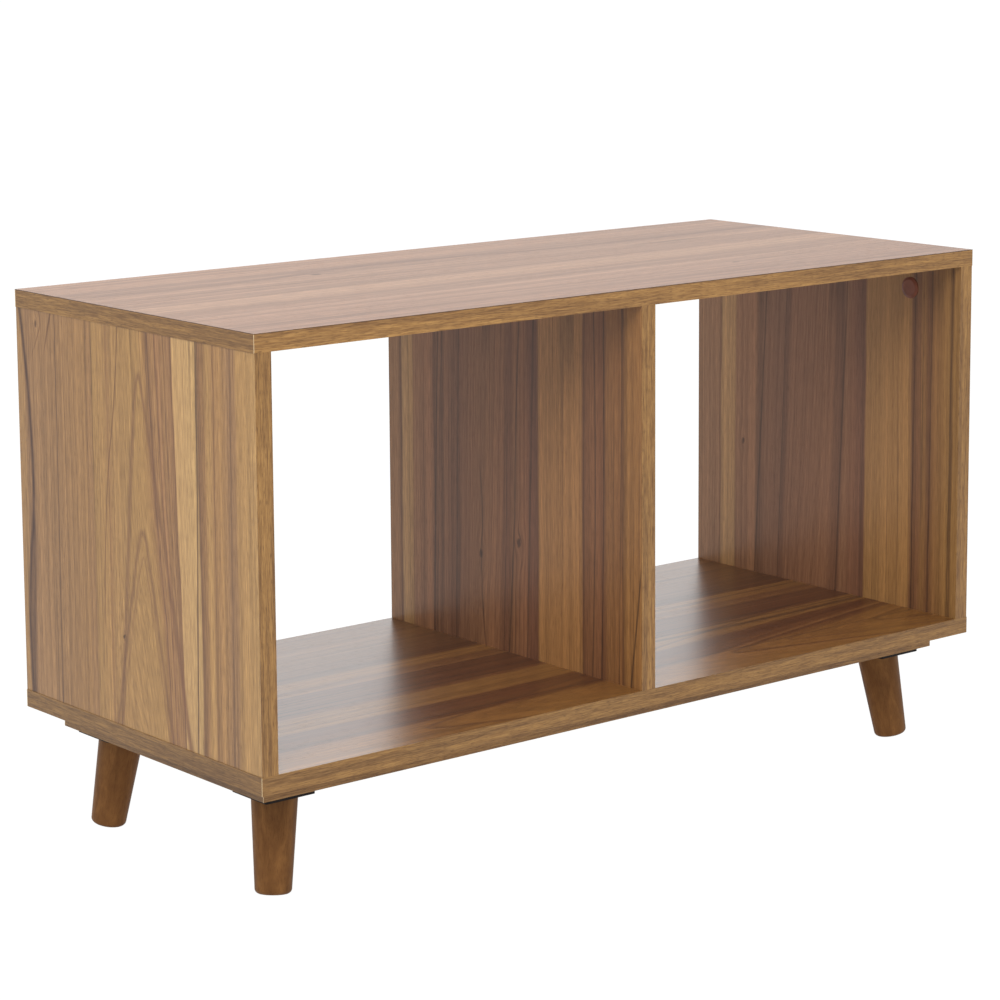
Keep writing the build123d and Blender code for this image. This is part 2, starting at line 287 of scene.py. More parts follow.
def decor(net, u, v, seed, bands, strokes=(), knots=(), arches=(), bends=(), veins=(), quiet=(),
          hush=0.85, wander=7.0, contrast=1.0):
    """The print on one face. u runs across the grain and v along it, in mm.

    bands     (u, colour) across the face
    strokes   (path, half width, strength, colour), a path being (v, u) points
    knots     (u, v, radius), a dark eye that the lines flow round
    arches    (axis path, apex v, left slope, right slope, strength, half width, colour),
              pointed figures
    bends     (u, half width, [(v, PATH_MIDDLE + shift)]) pushes the lines sideways
    veins     (u, half width, strength, colour), a dark line that follows the bends
    quiet     (u, half width, share), where the stripes are weaker
    hush      how much weaker they are inside the first arch
    wander    how far the lines drift, mm
    contrast  strength of the stripes, lines, fibres and pores
    """
    drift = (net.noise(u / 95.0, v / 300.0, seed + 1.0, 1.0) - 0.5) * wander
    ripple = (net.noise(u / 24.0, v / 85.0, seed + 2.0, 1.0) - 0.5) * (0.28 * wander)
    w = u + drift + ripple
    for centre, half, path in bends:
        shift = net.curve(v, path, PATH_SPAN) - PATH_MIDDLE
        w = w - shift * u.bell(centre, half)
    eye = None
    for ku, kv, radius in knots:
        du, dv = u - ku, v - kv
        pull = -(du * du / (2.6 * radius) ** 2 + dv * dv / (6.0 * radius) ** 2)
        w = w - (du + dv * 0.25) * pull.exp() * 0.8
        rim = (net.noise(u / 2.5, v / 4.0, seed + 47.0, 2.0) - 0.5) * 1.6
        spot = du * du / (radius * radius) + dv * dv / (2.6 * radius * radius) + rim
        spot = spot.step(1.2, 0.1)
        eye = spot if eye is None else eye.most(spot)

    frayed = w + (net.noise(u / 1.2, v / 70.0, seed + 3.0, 1.0) - 0.5) * 3.6
    tone = net.print_ramp(frayed, bands, DEPTH)
    line_u = w
    inside = None
    marks = []
    for axis, apex, left, right, strength, half, tint in arches:
        off = u + ripple * 1.2 - net.curve(v, axis, PATH_SPAN)
        level = v + (net.noise(u / 6.0, v / 40.0, seed + 4.0, 2.0) - 0.5) * 14.0
        hypotenuse = (off * off + ARCH_NOSE ** 2).sqrt()
        slope = off.above(0.0) * (right - left) + left
        rings = level - (hypotenuse - ARCH_NOSE) * slope - apex
        steep = slope * off / hypotenuse
        away = rings / (steep * steep + 1.0).sqrt()
        marks.append((away.bell(0.0, half) * strength, tint))
        if inside is None:
            inside = away.step(-0.5, 1.0)
            line_u = line_u + (rings / RING_PITCH + RING_START - line_u) * inside

    stripes, lines, fine, pores = fibres(net, line_u, w, v, seed)
    calm = contrast
    if inside is not None:
        calm = (1.0 - inside * hush) * contrast
        tone = net.blend(inside * 0.15, tone, net.times(tone, ARCH_LIGHT))
        clouds = net.noise(u / 7.0, v / 26.0, seed + 53.0, 3.0, 0.6)
        cloudy = clouds.step(0.62, 0.36) * inside * 0.4
        tone = net.blend(cloudy, tone, net.times(tone, CLOUD_DARK))
    for centre, half, share in quiet:
        calm = (1.0 - w.bell(centre, half) * share) * calm
    share = ((0.5 - stripes).most(0.0) * STRIPE_GAIN * calm).least(1.0)
    tone = net.blend(share, tone, net.times(tone, STRIPE_DARK))
    share = ((stripes - 0.5).most(0.0) * STRIPE_GAIN * calm).least(1.0)
    tone = net.blend(share, tone, net.times(tone, STRIPE_LIGHT))
    tone = net.blend(lines * calm * LINE_SHARE, tone, net.times(tone, LINE_DARK))
    for centre, half, strength, tint in veins:
        broken = net.noise(w / 3.0, v / 60.0, seed + 37.0, 1.0) + 0.45
        share = (frayed.bell(centre, half) * broken * strength).least(1.0)
        tone = net.blend(share, tone, colour(*tint))
    thread = net.noise(line_u / 9.0, v / 1500.0, seed + 23.0, 0.0)
    thread = (thread - 0.5).abs().step(0.028, 0.006)
    patches = net.noise(line_u / 40.0, v / 350.0, seed + 29.0, 1.0).step(0.42, 0.62)
    tone = net.blend(thread * patches * calm * THREAD_SHARE, tone, colour(*STREAK))
    for mark, tint in marks:
        tone = net.blend(mark, tone, colour(*tint))
    for path, half, strength, tint in strokes:
        middle = net.curve(v, path, PATH_SPAN)
        start, end = path[0][0], path[-1][0]
        mask = (u + ripple).bell(middle, half)
        if start > FADE_IN_FROM:
            mask = mask * v.step(start - STROKE_FADE, start + STROKE_FADE)
        if end < FADE_OUT_TO:
            mask = mask * v.step(end + STROKE_FADE, end - STROKE_FADE)
        broken = net.noise(u / 2.0, v / 40.0, seed + 31.0, 1.0) * 0.9 + 0.6
        tone = net.blend((mask * broken * strength).least(1.0), tone, colour(*tint))
    if eye is not None:
        tone = net.blend(eye * 0.75, tone, colour(*KNOT))
    shaded = net.times(tone, FIBRE_DARK)
    lit = net.times(tone, FIBRE_LIGHT)
    share = ((fine - 0.5) * (FIBRE_GAIN * contrast) + 0.5).most(0.0).least(1.0)
    tone = net.blend(share, shaded, lit)
    tone = net.blend(pores * PORE_SHARE * contrast, tone, net.times(tone, PORE_DARK))
    return tone, fine, pores


CHIP_DARK = (120, 92, 62)
CHIP_LIGHT = (196, 166, 122)
LAMINATE_ROUGH = 0.31
CHIPS_ROUGHER = 0.45        # chipboard is rougher than laminate by this
PRINT_RELIEF = 0.012        # depth of the embossed grain, mm
LAMINATE_IOR = 1.43
TOP_IOR = 1.13              # the top mirrors the studio less than the other faces do


def chipboard(net, x, y, z):
    """Pressed chips, seen in bores and on unbanded edges."""
    chips = net.noise(x / 2.2, y / 2.2, z / 1.1, 3.0, 0.7)
    return net.blend(chips.step(0.3, 0.7), colour(*CHIP_DARK), colour(*CHIP_LIGHT))


def board(name, decor_call, thin_axis, ior=LAMINATE_IOR):
    """A board: decor on its two large faces, chips on its cut edges and in its bores."""
    net = Net(name)
    x, y, z = net.place()
    face = net.facing()[thin_axis]
    tone, fine, pores = decor_call(net, x, y, z)
    raw = face.step(0.6, 0.5)
    base = net.blend(raw, tone, chipboard(net, x, y, z))
    rough = (fine - 0.5) * 0.10 + LAMINATE_ROUGH + pores * 0.10 + raw * CHIPS_ROUGHER
    height = fine * 0.5 - pores * 0.8
    return net.surface(base, rough, height, PRINT_RELIEF, ior=ior)


def graded(stops, grades):
    """Bands lightened, darkened or warmed in places.

    stops   (u, colour)
    grades  (from u, to u, scale of each channel), every one that covers u counting
    """
    def grade(u, tint):
        for start, end, scale in grades:
            if start <= u <= end:
                tint = tuple(c * k for c, k in zip(tint, scale))
        return tint
    return [(u, grade(u, tint)) for u, tint in stops]


def faint(strokes):
    """The dark strokes of an inner face, at a share of their strength."""
    return [(path, half, strength * FAINT_SHARE, tint) for path, half, strength, tint in strokes]


FAINT_SHARE = 0.82

# bands of colour from the back edge, at u = 0, to the front
BAND_LEFT = [
    (0, (160, 120, 84)), (9, (158, 117, 80)), (14, (140, 102, 74)), (26, (150, 110, 78)),
    (58, (148, 108, 75)), (105, (154, 112, 74)), (108, (144, 104, 70)), (115, (148, 107, 73)),
    (118, (164, 122, 78)), (136, (160, 118, 76)), (139, (140, 100, 66)), (146, (162, 120, 78)),
    (172, (160, 119, 76)), (186, (164, 122, 78)), (195, (150, 108, 70)), (199, (142, 100, 70)),
    (207, (160, 116, 78)), (212, (146, 103, 72)), (222, (156, 113, 77)), (234, (142, 101, 71)),
    (236, (180, 138, 96)), (262, (184, 143, 100)), (270, (172, 133, 91)), (272, (130, 91, 64)),
    (278, (150, 108, 72)), (285, (168, 126, 82)), (292, (152, 110, 74)), (302, (160, 117, 77)),
    (313, (146, 107, 77)), (321, (150, 110, 78)), (324, (164, 122, 80)), (350, (168, 127, 84)),
]
BAND_INNER = graded([
    (0, (150, 104, 75)), (15, (154, 107, 77)), (18, (118, 79, 60)), (20, (182, 134, 95)),
    (34, (170, 127, 86)), (37, (142, 99, 72)), (64, (139, 96, 70)), (67, (110, 74, 55)),
    (72, (126, 87, 64)), (78, (106, 72, 54)), (82, (128, 88, 65)), (103, (116, 78, 58)),
    (107, (132, 90, 66)), (140, (134, 92, 65)), (164, (136, 92, 65)), (174, (112, 73, 53)),
    (181, (136, 92, 64)), (198, (124, 82, 58)), (204, (102, 66, 49)), (213, (106, 69, 51)),
    (215, (166, 116, 73)), (272, (164, 114, 71)), (275, (116, 75, 51)), (284, (130, 86, 58)),
    (300, (118, 76, 52)), (306, (142, 96, 60)), (322, (138, 92, 57)), (325, (102, 66, 43)),
    (329, (148, 102, 61)), (350, (150, 103, 62)),
], [
    (0, 350, (0.985, 1.015, 1.04)),
    (21, 214, (1.06, 1.03, 1.03)), (215, 275, (1.04, 1.02, 1.02)), (276, 350, (1.02, 0.99, 0.98)),
    (60, 82, (1.09, 1.09, 1.09)), (83, 197, (1.04, 1.04, 1.04)), (198, 214, (1.13, 1.13, 1.13)),
    (275, 300, (1.07, 1.07, 1.07)),
])
BAND_RIGHT = graded([
    (0, (142, 101, 76)), (30, (144, 102, 76)), (32, (114, 78, 58)), (35, (178, 132, 92)),
    (52, (176, 130, 90)), (55, (146, 101, 75)), (82, (142, 98, 72)), (88, (114, 77, 57)),
    (96, (132, 90, 67)), (120, (128, 87, 65)), (124, (110, 73, 55)), (130, (136, 92, 68)),
    (180, (138, 93, 67)), (200, (114, 75, 55)), (206, (136, 92, 66)), (215, (128, 84, 61)),
    (226, (108, 70, 52)), (231, (108, 70, 52)), (233, (168, 117, 73)), (288, (162, 112, 69)),
    (292, (112, 71, 49)), (300, (122, 78, 53)), (306, (140, 94, 58)), (313, (112, 71, 49)),
    (319, (136, 90, 56)), (337, (150, 103, 62)), (340, (108, 71, 46)), (343, (150, 103, 62)),
    (350, (150, 103, 62)),
], [
    (0, 350, (0.975, 1.02, 1.05)),
    (0, 85, (1.09, 1.06, 1.06)), (86, 232, (1.06, 1.04, 1.06)), (233, 290, (1.04, 1.03, 1.03)),
    (0, 31, (1.04, 1.04, 1.04)), (82, 215, (1.08, 1.08, 1.08)), (216, 232, (1.12, 1.12, 1.12)),
    (292, 319, (1.08, 1.08, 1.08)),
])
BAND_TOP = graded([
    (0, (154, 110, 88)), (54, (155, 111, 89)), (66, (142, 101, 81)), (92, (147, 105, 84)),
    (108, (152, 109, 87)), (114, (162, 117, 94)), (122, (146, 104, 83)), (164, (147, 105, 84)),
    (174, (160, 116, 93)), (200, (162, 118, 94)), (212, (149, 106, 84)), (220, (143, 102, 81)),
    (242, (144, 102, 82)), (247, (166, 121, 98)), (254, (151, 108, 87)), (290, (149, 106, 85)),
    (318, (142, 100, 80)), (350, (146, 103, 83)),
], [
    (0, 350, (1.045, 1.085, 1.14)), (0, 350, (1.0, 0.99, 0.985)),
])
BAND_FLOOR = graded([
    (0, (112, 76, 54)), (60, (118, 80, 56)), (100, (106, 70, 50)), (131, (98, 62, 44)),
    (134, (150, 104, 66)), (152, (146, 100, 62)), (158, (112, 73, 51)), (166, (128, 86, 58)),
    (176, (98, 61, 44)), (190, (104, 65, 46)), (206, (92, 56, 40)), (222, (104, 66, 45)),
    (226, (146, 101, 62)), (256, (142, 97, 58)), (261, (104, 65, 44)), (276, (96, 58, 40)),
    (286, (112, 71, 47)), (298, (100, 61, 41)), (306, (138, 92, 54)), (350, (142, 96, 56)),
], [
    (0, 350, (0.985, 1.025, 1.0)), (0, 350, (0.98, 0.93, 0.88)),
    (258, 302, (0.95, 0.93, 0.90)),
    (0, 131, (1.08, 1.08, 1.08)), (158, 222, (1.08, 1.08, 1.08)), (261, 298, (1.06, 1.06, 1.06)),
])
DARK = (92, 58, 38)
GREY = (76, 50, 40)
UMBER = (64, 44, 32)
GOLD = (152, 105, 60)
BROWN = (104, 70, 50)
TAN = (124, 84, 60)
ROSE = (100, 66, 54)


def left_outer(net, x, y, z):
    return decor(
        net, BACK - y, RISE_TOP - z, 3.0, BAND_LEFT,
        strokes=[
            ([(0, 5), (40, 12), (90, 18), (180, 19), (200, 15), (250, 10), (330, 11)],
             4.2, 0.9, GREY),
            ([(175, 19), (215, 19), (260, 16), (330, 14)], 7.0, 0.7, GREY),
            ([(0, 55), (14, 50), (32, 44)], 2.0, 0.7, DARK),
            ([(0, 36), (10, 38), (22, 33), (34, 26)], 1.6, 0.5, DARK),
            ([(0, 61), (330, 59)], 1.0, 0.8, GREY),
            ([(0, 157), (60, 150), (133, 137), (250, 128)], 1.6, 0.6, DARK),
            ([(0, 269), (120, 268), (230, 265), (330, 262)], 1.8, 0.8, GREY),
            ([(0, 293), (330, 290)], 1.2, 0.45, DARK),
            ([(0, 316), (330, 313)], 2.4, 0.4, GREY),
            ([(240, 238), (285, 243), (330, 251)], 4.0, 0.6, TAN),
        ],
        knots=[(31, 11, 2.4), (157, 255, 1.4)],
        arches=[
            ([(0, 185), (163, 187), (330, 189)], 38.0, 9.0, 5.0, 0.62, 4.6, (112, 76, 53)),
            ([(0, 187), (163, 188), (330, 190)], 163.0, 4.2, 5.4, 0.62, 4.0, (112, 76, 52)),
            ([(0, 187), (163, 188), (330, 190)], 186.0, 4.2, 5.4, 0.38, 3.0, (118, 81, 55)),
        ],
        bends=[(205, 62, [(0, 500), (100, 506), (160, 512), (240, 524), (330, 536)])],
        veins=[
            (200, 1.6, 0.75, BROWN), (205, 1.0, 0.4, BROWN), (211, 1.4, 0.7, BROWN),
            (217, 1.0, 0.4, BROWN), (223, 1.5, 0.6, BROWN), (228, 1.0, 0.4, BROWN),
            (234, 1.6, 0.7, BROWN), (251, 1.2, 0.2, BROWN), (271, 2.0, 0.6, BROWN),
            (279, 1.2, 0.4, BROWN),
        ],
        quiet=[(250, 24, 0.85), (312, 50, 0.4)],
        wander=5.0,
    )


def left_inner(net, x, y, z):
    return decor(net, y + BACK, RISE_TOP - z, 41.0, BAND_INNER, wander=12.0, contrast=0.7)


def divider_left(net, x, y, z):
    return decor(
        net, BACK - y, RISE_TOP - z, 11.0, BAND_INNER,
        strokes=faint([
            ([(0, 76), (150, 70), (330, 65)], 1.6, 0.7, UMBER),
            ([(0, 82), (150, 75), (330, 70)], 1.2, 0.5, UMBER),
            ([(0, 105), (330, 97)], 1.0, 0.7, UMBER),
            ([(170, 133), (215, 136), (245, 134), (330, 140)], 1.8, 0.6, UMBER),
            ([(0, 190), (120, 184), (228, 180), (330, 173)], 1.8, 0.75, UMBER),
            ([(0, 209), (160, 204), (330, 198)], 2.2, 0.7, UMBER),
            ([(0, 276), (330, 274)], 1.2, 0.6, UMBER),
            ([(0, 288), (160, 290), (330, 286)], 1.6, 0.8, UMBER),
            ([(0, 301), (160, 301), (330, 298)], 1.4, 0.9, UMBER),
            ([(0, 325), (330, 321)], 1.2, 0.7, UMBER),
            ([(226, 349), (260, 345), (330, 336)], 1.8, 0.9, UMBER),
        ]),
        knots=[(134, 246, 3.0), (187, 228, 3.2)],
        bends=[(140, 70, [(0, 506), (150, 500), (330, 492)])],
        wander=5.0, contrast=0.85,
    )


def right_inner(net, x, y, z):
    return decor(
        net, BACK - y, RISE_TOP - z, 12.0, BAND_RIGHT,
        strokes=faint([
            ([(0, 100), (90, 95), (330, 82)], 1.6, 0.7, UMBER),
            ([(0, 127), (330, 114)], 1.0, 0.6, UMBER),
            ([(0, 208), (330, 194)], 1.8, 0.7, UMBER),
            ([(0, 295), (330, 293)], 1.6, 0.8, UMBER),
            ([(0, 316), (330, 314)], 1.6, 0.8, UMBER),
            ([(0, 341), (330, 338)], 1.0, 0.7, UMBER),
        ]),
        knots=[(65, 200, 2.2)],
        bends=[(150, 85, [(0, 508), (150, 500), (330, 488)])],
        wander=4.5, contrast=0.7,
    )


def two_faced(first, second, split_axis, level):
    """One print on the low side of a board and another on its high side."""
    def call(net, x, y, z):
        a = first(net, x, y, z)
        b = second(net, x, y, z)
        side = (x, y, z)[split_axis].above(level)
        tone = net.blend(side, a[0], b[0])
        fine = a[1] + (b[1] - a[1]) * side
        pores = a[2] + (b[2] - a[2]) * side
        return tone, fine, pores
    return call


def plain_upright(seed, flip):
    """An upright's print with bands alone. flip starts it at the front, as an inner face."""
    def call(net, x, y, z):
        u = (y + BACK) if flip else (BACK - y)
        bands = BAND_INNER if flip else BAND_LEFT
        contrast = 0.7 if flip else 1.0
        return decor(net, u, RISE_TOP - z, seed, bands, wander=14.0, contrast=contrast)
    return call


def panel_print(bands, seed, **features):
    """A panel's print, its grain along the unit's width."""
    def call(net, x, y, z):
        return decor(net, BACK - y, x + PATH_MIDDLE, seed, bands, **features)
    return call


centre_z = {n: sum(c.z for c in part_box(n)) * 0.5 * MM for n in PANELS}
centre_x = {n: sum(c.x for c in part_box(n)) * 0.5 * MM for n in UPRIGHTS}

top_face = panel_print(
    BAND_TOP, 21.0,
    strokes=[([(120, 90), (260, 92), (420, 70), (640, 84), (900, 76)], 9.0, 0.35, ROSE)],
    knots=[(92, 345, 4.0), (272, 675, 3.0)],
    bends=[(190, 190, [(100, 502), (400, 500), (620, 496), (900, 488)])],
    wander=9.0, contrast=0.95,
)
top_under = panel_print(BAND_FLOOR, 22.0, wander=16.0)
floor_axis = [(0, 322), (284, 321), (450, 318), (622, 306), (900, 302)]
floor_face = panel_print(
    BAND_FLOOR, 23.0,
    strokes=[
        ([(100, 171), (500, 173), (900, 176)], 1.8, 0.6, UMBER),
        ([(100, 186), (500, 187), (900, 184)], 1.6, 0.6, UMBER),
        ([(100, 208), (500, 206), (900, 210)], 1.8, 0.7, UMBER),
        ([(100, 216), (500, 218), (900, 221)], 1.8, 0.7, UMBER),
        ([(560, 226), (700, 232), (900, 226)], 6.0, 0.7, UMBER),
        ([(100, 298), (500, 297)], 1.8, 0.6, UMBER),
    ],
    arches=[
        (floor_axis, 284.0, 6.0, 3.4, 0.65, 2.8, (92, 57, 35)),
        (floor_axis, 622.0, 6.4, 4.2, 0.6, 4.5, GOLD),
        (floor_axis, 644.0, 6.4, 4.2, 0.65, 4.0, (92, 57, 35)),
        (floor_axis, 716.0, 5.4, 4.2, 0.5, 4.0, (98, 62, 38)),
        (floor_axis, 806.0, 4.6, 4.2, 0.5, 4.0, GOLD),
        (floor_axis, 828.0, 4.6, 4.2, 0.5, 3.6, (98, 62, 38)),
    ],
    bends=[(268, 82, [(0, 500), (560, 500), (700, 488), (900, 462)])],
    hush=0.35, wander=5.0,
)
floor_under = panel_print(BAND_TOP, 24.0, wander=16.0)
base_under = panel_print(BAND_LEFT, 25.0, wander=16.0)


def upright(name, material, left_print, right_print):
    """An upright with one print on its left face and another on its right."""
    prints = two_faced(left_print, right_print, X_AXIS, centre_x[name])
    return board(material, prints, X_AXIS)


def panel(name, material, under_print, upper_print, ior=LAMINATE_IOR):
    """A level board with one print underneath and another on top."""
    prints = two_faced(under_print, upper_print, Z_AXIS, centre_z[name])
    return board(material, prints, Z_AXIS, ior)


MATERIALS = {
    "left_side": upright("left_side", "laminate_left", left_outer, left_inner),
    "divider": upright("divider", "laminate_divider", divider_left, plain_upright(13.0, True)),
    "right_side": upright("right_side", "laminate_right", right_inner, plain_upright(14.0, False)),
    "top_panel": panel("top_panel", "laminate_top", top_under, top_face, TOP_IOR),
    "bottom_panel": panel("bottom_panel", "laminate_bottom", floor_under, floor_face),
    "sub_base": board("laminate_base", base_under, Z_AXIS),
}


# ---------------------------------------------------------------- other materials

EDGE_DARK = (118, 82, 46)
EDGE_LIGHT = (152, 111, 62)
EDGE_SHADED = (72, 46, 24)
EDGE_LIT = (208, 168, 104)
EDGE_PORE = (70, 44, 24)
EDGE_CORE = (236, 212, 170)
EDGE_RIM = (74, 47, 32)
RIM_FROM, RIM_TO = 0.9, 0.4     # the rim's line deepens between these depths, mm
EDGE_ROUGH = 0.38
EDGE_IOR = 1.42


def edge_band(name, grain_axis, seed, shade, core_axis=None, rim_level=None):
    """A printed band with its grain along the edge, its colours scaled by shade.

    core_axis  its cut ends, which face this axis, show the pale core
    rim_level  its upper rim, at this height in mm, has a dark line
    """
    def tint(rgb):
        return colour(*(c * shade for c in rgb))

    net = Net(name)
    xyz = net.place()
    along = xyz[grain_axis]
    others = [xyz[i] for i in range(3) if i != grain_axis]
    # the same print whichever of the two other axes the band faces
    across = others[0] + others[1]
    bend = (net.noise(across / 14.0, along / 120.0, seed, 2.0) - 0.5) * 6.0
    w = across + bend
    broad = net.noise(w / 5.5, along / 200.0, seed + 3.0, 2.0, 0.6)
    fine = net.noise(w / 0.8, along / 22.0, seed + 5.0, 2.0, 0.65)
    pores = net.noise(across / 0.5, along / 7.0, seed + 8.0, 1.0).step(0.56, 0.70)
    tone = net.blend(broad.step(0.36, 0.64), tint(EDGE_DARK), tint(EDGE_LIGHT))
    shaded = net.blend(0.38, tone, tint(EDGE_SHADED))
    lit = net.blend(0.18, tone, tint(EDGE_LIT))
    tone = net.blend(fine.step(0.32, 0.68), shaded, lit)
    tone = net.blend(pores * 0.5, tone, tint(EDGE_PORE))
    if core_axis is not None:
        end = net.facing()[core_axis].step(0.55, 0.75)
        tone = net.blend(end, tone, colour(*EDGE_CORE))
    if rim_level is not None:
        rim = xyz[Z_AXIS].step(rim_level - RIM_FROM, rim_level - RIM_TO)
        tone = net.blend(rim * 0.85, tone, colour(*EDGE_RIM))
    rough = (fine - 0.5) * 0.1 + EDGE_ROUGH
    return net.surface(tone, rough, fine * 0.5 - pores * 0.6, PRINT_RELIEF, ior=EDGE_IOR)


# a board's front and back bands share one material, and its left and right bands another
LONG_BANDS = {
    "top_panel": edge_band("band_top_long", X_AXIS, 51.0, 1.12, core_axis=X_AXIS, rim_level=TOP),
    "bottom_panel": edge_band("band_bottom_long", X_AXIS, 52.0, 1.04, core_axis=X_AXIS),
    "sub_base": edge_band("band_base_long", X_AXIS, 53.0, 1.06, core_axis=X_AXIS),
    "left_side": edge_band("band_left", Z_AXIS, 63.0, 1.07),
    "divider": edge_band("band_divider", Z_AXIS, 64.0, 1.10),
    "right_side": edge_band("band_right", Z_AXIS, 65.0, 1.10),
}
SHORT_BANDS = {
    "top_panel": edge_band("band_top_short", Y_AXIS, 57.0, 0.99, rim_level=TOP),
    "bottom_panel": edge_band("band_bottom_short", Y_AXIS, 58.0, 0.93),
    "sub_base": edge_band("band_base_short", Y_AXIS, 59.0, 0.93),
}
EDGE_NODES = {
    f"{name}_band_{side}": material
    for sides, materials in ((("front", "back"), LONG_BANDS), (("left", "right"), SHORT_BANDS))
    for name, material in materials.items() for side in sides
}


LEG_DARK = (102, 67, 36)
LEG_LIGHT = (132, 91, 51)
LEG_CLOUD = (98, 63, 35)
LEG_FLECK = (76, 48, 27)
LEG_ROUGH = 0.42
LEG_RELIEF = 0.01           # mm
LEG_IOR, LEG_SPECULAR = 1.4, 0.12


def leg_wood(name, axis, seed):
    """Stained, lacquered beech with its grain along the leg."""
    net = Net(name)
    node = net.add("ShaderNodeTexCoord")
    axis = Vector(axis).normalized()
    first = axis.orthogonal().normalized()
    second = axis.cross(first)
    along, p, q = (net.dot(node.outputs["Object"], tuple(d)) * MM for d in (axis, first, second))
    sway = (net.noise(p / 18.0, q / 18.0, along / 50.0 + seed, 2.0) - 0.5) * 14.0
    rings = net.noise((p + sway) / 4.0, (q - sway) / 12.0, along / 70.0 + seed, 3.0, 0.6)
    flecks = net.noise(p / 0.8, q / 0.8, along / 5.0 + seed, 2.0, 0.6)
    cloud = net.noise(p / 11.0, q / 11.0, along / 14.0 + seed + 5.0, 3.0, 0.6)
    tone = net.blend(rings.step(0.25, 0.75), colour(*LEG_DARK), colour(*LEG_LIGHT))
    tone = net.blend(cloud.step(0.35, 0.7) * 0.45, tone, colour(*LEG_CLOUD))
    tone = net.blend(flecks.step(0.48, 0.72) * 0.35, tone, colour(*LEG_FLECK))
    rough = (flecks - 0.5) * 0.1 + LEG_ROUGH
    return net.surface(tone, rough, flecks, LEG_RELIEF, ior=LEG_IOR, specular=LEG_SPECULAR)


PLASTIC_RELIEF = 0.02       # mm
METAL_RELIEF = 0.01
DOWEL_RELIEF = 0.02


def plastic(name, tint, rough, specular):
    """Moulded plastic with a fine texture, a little uneven in colour."""
    net = Net(name)
    x, y, z = net.place()
    fine = net.noise(x / 0.45, y / 0.45, z / 0.45, 2.0, 0.6)
    broad = net.noise(x / 14.0, y / 14.0, z / 14.0, 2.0)
    darker = tuple(c * 0.82 for c in tint)
    base = net.blend(broad.step(0.3, 0.7), colour(*darker), colour(*tint))
    return net.surface(
        base, (fine - 0.5) * 0.12 + rough, fine, PLASTIC_RELIEF, specular=specular)


def metal(name, tint, rough):
    """Plated or blackened metal, its finish a little uneven."""
    net = Net(name)
    x, y, z = net.place()
    fine = net.noise(x / 0.6, y / 0.6, z / 0.25, 3.0, 0.6)
    broad = net.noise(x / 5.0, y / 5.0, z / 5.0, 2.0)
    darker = tuple(c * 0.8 for c in tint)
    base = net.blend(broad.step(0.3, 0.7), colour(*darker), colour(*tint))
    return net.surface(base, (fine - 0.5) * 0.2 + rough, fine, METAL_RELIEF, metallic=1.0)


def dowel_wood(name, dark, light, rough):
    """Plain pale wood, its grain upright."""
    net = Net(name)
    x, y, z = net.place()
    fine = net.noise(x / 0.8, y / 0.8, z / 12.0, 2.0, 0.6)
    base = net.blend(fine.step(0.3, 0.7), colour(*dark), colour(*light))
    return net.surface(base, rough, fine, DOWEL_RELIEF)


PLATE = plastic("plate_plastic", tint=(34, 27, 24), rough=0.55, specular=0.15)
CAP = plastic("cap_plastic", tint=(140, 86, 68), rough=0.45, specular=0.4)
ZINC = metal("zinc_steel", tint=(206, 206, 202), rough=0.34)
BLACK = metal("black_steel", tint=(58, 58, 60), rough=0.42)
CAM = metal("cam_zinc", tint=(176, 176, 178), rough=0.42)
DOWEL = dowel_wood("dowel_wood", dark=(196, 160, 112), light=(222, 190, 142), rough=0.6)


def paint(node, material):
    owner = nodes[node]
    for slot in owner.material_slots:
        slot.material = material


FITTINGS = {
    "cam_bolts": ZINC, "cam_locks": CAM, "cam_caps": CAP, "top_dowels": DOWEL,
    "bottom_dowels": DOWEL, "confirmat_screws": ZINC, "sub_base_screws": BLACK,
}
for name, material in {**MATERIALS, **EDGE_NODES, **FITTINGS}.items():
    paint(name, material)

LEG_SPLAY = 9.9             # degrees off vertical, along the diagonal
LEG_SEEDS = (71.0, 80.0, 89.0, 98.0)
splay = math.tan(math.radians(LEG_SPLAY)) * math.sqrt(0.5)      # out in x, and in y, per unit down
for corner, seed in zip(CORNERS, LEG_SEEDS):
    side = 1.0 if "right" in corner else -1.0
    back = 1.0 if "back" in corner else -1.0
    axis = (-side * splay, -back * splay, 1.0)
    paint(f"leg_{corner}", leg_wood(f"leg_wood_{corner}", axis, seed))
    paint(f"leg_plate_{corner}", PLATE)
    paint(f"leg_insert_{corner}", ZINC)
    paint(f"leg_bolt_{corner}", ZINC)
    paint(f"leg_plate_screws_{corner}", BLACK)


# ---------------------------------------------------------------- softened edges

WELD_REACH = 0.01           # mm
EDGE_EASE = 0.12            # mm
SHARP_FROM = 40.0           # degrees


def soften(node):
    """Welds the shell and eases its sharp edges."""
    owner = nodes[node]
    weld = owner.modifiers.new("weld", "WELD")
    weld.merge_threshold = WELD_REACH / MM
    bevel = owner.modifiers.new("ease", "BEVEL")
    bevel.width = EDGE_EASE / MM
    bevel.segments = 2
    bevel.limit_method = "ANGLE"
    bevel.angle_limit = math.radians(SHARP_FROM)
    bevel.harden_normals = True


for name in EDGE_NODES:
    soften(name)


# ---------------------------------------------------------------- studio

FLOOR_HALF = 30.0           # m
FLOOR_GAP = 0.0002          # the second floor lies this far under the first, m
BACK_WAY = (0.64, 0.77)     # x and y of the way that leads behind the unit
SKY_LEVEL = 0.72
SKY_LIFT = 2.25             # how much brighter the sky is above the horizon behind the unit
HORIZON_DIP = 0.34          # how much dimmer it is along that horizon


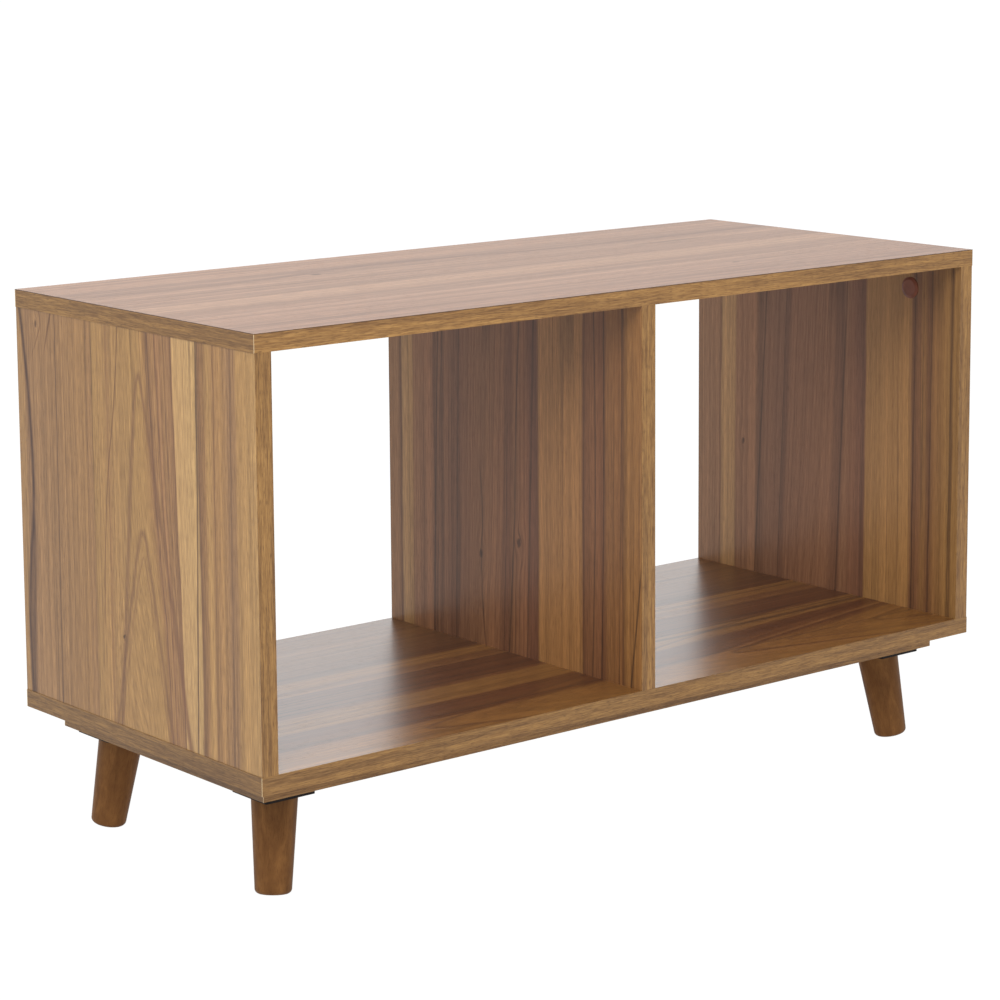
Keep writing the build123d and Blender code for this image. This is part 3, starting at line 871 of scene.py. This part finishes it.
def make_camera():
    """The viewpoint, in metres and degrees."""
    data = bpy.data.cameras.new("camera")
    data.sensor_width = 36.0
    data.lens = 109.96
    data.shift_x, data.shift_y = -0.02006, -0.15861
    data.clip_start, data.clip_end = 0.05, 200.0
    owner = bpy.data.objects.new("camera", data)
    owner.location = (-1.69656, -2.0504, 0.79353)
    owner.rotation_euler = Euler([math.radians(a) for a in (81.528, 0.325, -39.741)])
    scene.collection.objects.link(owner)
    scene.camera = owner


def make_floor(name, base, glow, level):
    """A level square of grey base, which gives off glow."""
    mesh = bpy.data.meshes.new(name)
    corners = [(x * FLOOR_HALF, y * FLOOR_HALF, level)
               for x, y in ((-1, -1), (1, -1), (1, 1), (-1, 1))]
    mesh.from_pydata(corners, [], [(0, 1, 2, 3)])
    owner = bpy.data.objects.new(name, mesh)
    scene.collection.objects.link(owner)
    net = Net(name)
    shader = net.add("ShaderNodeBsdfPrincipled")
    shader.inputs["Base Color"].default_value = (base, base, base, 1.0)
    shader.inputs["Roughness"].default_value = 1.0
    shader.inputs["Specular IOR Level"].default_value = 0.0
    shader.inputs["Emission Color"].default_value = (1.0, 1.0, 1.0, 1.0)
    shader.inputs["Emission Strength"].default_value = glow
    out = net.add("ShaderNodeOutputMaterial")
    net.put(out.inputs[0], shader.outputs[0])
    mesh.materials.append(net.owner)
    return owner


def make_floors():
    """Two floors: one that only the camera sees, and under it one that only the unit meets.

    The lower one takes the unit's shade, and gives light back to it.
    """
    seen = make_floor("floor", base=0.05, glow=1.0, level=0.0)
    seen.visible_diffuse = seen.visible_glossy = False
    seen.visible_transmission = seen.visible_shadow = False
    lit = make_floor("floor_bounce", base=0.45, glow=0.45, level=-FLOOR_GAP)
    lit.visible_camera = False


def make_world():
    """Even white surroundings, brighter above the horizon behind the unit and dimmer along it."""
    world = bpy.data.worlds.new("studio")
    scene.world = world
    net = Net("studio", world)
    node = net.add("ShaderNodeTexCoord")
    x, y, z = net.split(node.outputs["Generated"])
    behind = (x * BACK_WAY[0] + y * BACK_WAY[1]).step(0.45, 0.9)
    raised = z.step(0.165, 0.23) * z.step(0.75, 0.45)
    low = z.step(0.19, 0.15) * z.step(-0.05, 0.0)
    strength = behind * (raised * SKY_LIFT - low * HORIZON_DIP) + SKY_LEVEL
    shade = net.add("ShaderNodeBackground")
    shade.inputs[0].default_value = (1.0, 1.0, 1.0, 1.0)
    net.put(shade.inputs[1], strength)
    out = net.add("ShaderNodeOutputWorld")
    net.put(out.inputs[0], shade.outputs[0])


def make_softbox(name, place, target, size, power):
    """A rectangular light of size, m, and power, W, at place and aimed at target."""
    data = bpy.data.lights.new(name, "AREA")
    data.shape = "RECTANGLE"
    data.size, data.size_y = size
    data.energy = power
    owner = bpy.data.objects.new(name, data)
    owner.location = place
    owner.rotation_euler = (Vector(target) - Vector(place)).to_track_quat("-Z", "Y").to_euler()
    scene.collection.objects.link(owner)


make_camera()
make_floors()
make_world()
make_softbox(
    "softbox", place=(-1.5, -1.25, 1.8), target=(0.0, 0.0, 0.3), size=(1.4, 1.1), power=26.0)
scene.view_settings.view_transform = "Standard"
scene.view_settings.look = "None"
